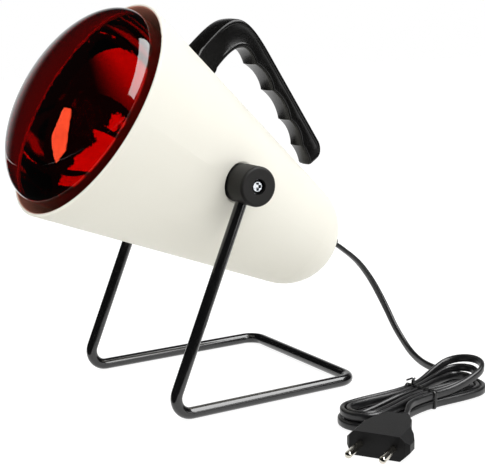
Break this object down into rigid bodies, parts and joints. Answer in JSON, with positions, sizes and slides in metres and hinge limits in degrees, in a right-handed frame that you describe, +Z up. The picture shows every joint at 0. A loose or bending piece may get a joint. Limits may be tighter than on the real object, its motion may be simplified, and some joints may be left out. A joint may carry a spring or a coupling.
{
  "type": "infrared heat therapy lamp",
  "caption": "Infrared heat lamp with a ruby reflector bulb in a white conical housing, a finger-grip handle, a tilting bent-rod stand and a flat mains cord tied in a hank.",
  "frame": {"origin": "middle of the footprint of the lamp and its stand on the table, the cord left out", "axes": "+Z up, the lamp faces -Y, +X to the side where the cord lies"},
  "size_m": [0.2572, 0.258, 0.2368],
  "materials": {
    "white_plastic": "fine satin",
    "black_plastic": "satin",
    "handle_plastic": "semi-gloss",
    "rod_enamel": "gloss enamel",
    "zinc_steel": "bright zinc",
    "porcelain": "glazed",
    "nickel_brass": "nickel plated",
    "brass": "machined",
    "cord_pvc": "smooth flexible PVC",
    "tie_plastic": "smooth",
    "plug_pvc": "fine matt moulded PVC",
    "wire_brown": "smooth",
    "wire_blue": "smooth",
    "ruby_glass": "clear ruby",
    "mirror_coat": "vapour-deposited aluminium",
    "cap_metal": "bright drawn",
    "solder": "soldered",
    "black_glass": "vitrified",
    "clear_glass": "clear",
    "molybdenum": "drawn wire",
    "tungsten": "drawn wire"
  },
  "bodies": {
    "stand": {"stand_rod": "rod_enamel", "pivot_knob_right": "black_plastic", "pivot_knob_left": "black_plastic", "friction_washers": "zinc_steel", "cord_run": "cord_pvc", "cord_hank": "cord_pvc", "cord_tail": "cord_pvc", "cord_tie": "tie_plastic", "plug_body": "plug_pvc", "plug_pins": "nickel_brass", "plug_strain_relief": "plug_pvc"},
    "head": {"housing_shell": "white_plastic", "pivot_spacers": "black_plastic", "pivot_screws": "zinc_steel", "pivot_washers": "zinc_steel", "pivot_nuts": "zinc_steel", "handle_grip": "handle_plastic", "handle_plate": "zinc_steel", "handle_screws": "zinc_steel", "holder_body": "porcelain", "holder_screw_shell": "nickel_brass", "holder_contact": "brass", "holder_terminals": "brass", "holder_bracket": "zinc_steel", "bracket_screws": "zinc_steel", "holder_screws": "zinc_steel", "cord_bushing": "cord_pvc", "cord_inner_end": "cord_pvc", "cord_clamp": "white_plastic", "clamp_screws": "zinc_steel", "wire_live": "wire_brown", "wire_neutral": "wire_blue"},
    "bulb_centre": {"bulb_tip_contact": "solder"},
    "bulb": {"bulb_glass": "ruby_glass", "bulb_mirror": "mirror_coat", "bulb_cap": "cap_metal", "bulb_insulator": "black_glass", "bulb_stem": "clear_glass", "bulb_supports": "molybdenum", "bulb_filament": "tungsten"}
  },
  "joints": [
    {"name": "head_tilt", "type": "hinge", "parent": "stand", "child": "head", "pos_m": [0, 0.0064, 0.134], "axis": [1, 0, 0], "range_deg": [-58, 58], "deforming": ["cord_run"]},
    {"name": "bulb_lift", "type": "slide", "parent": "head", "child": "bulb_centre", "axis": [0, -0.8453, 0.5344], "range_m": [0, 0.0181]},
    {"name": "bulb_turn", "type": "hinge", "parent": "bulb_centre", "child": "bulb", "pos_m": [0, 0.00533, 0.13231], "axis": [0, -0.8453, 0.5344], "range_deg": [0, 1800]}
  ],
  "couplings": [
    {"joint": "bulb_lift", "follows": "bulb_turn", "m_per_rad": 0.00057614}
  ]
}
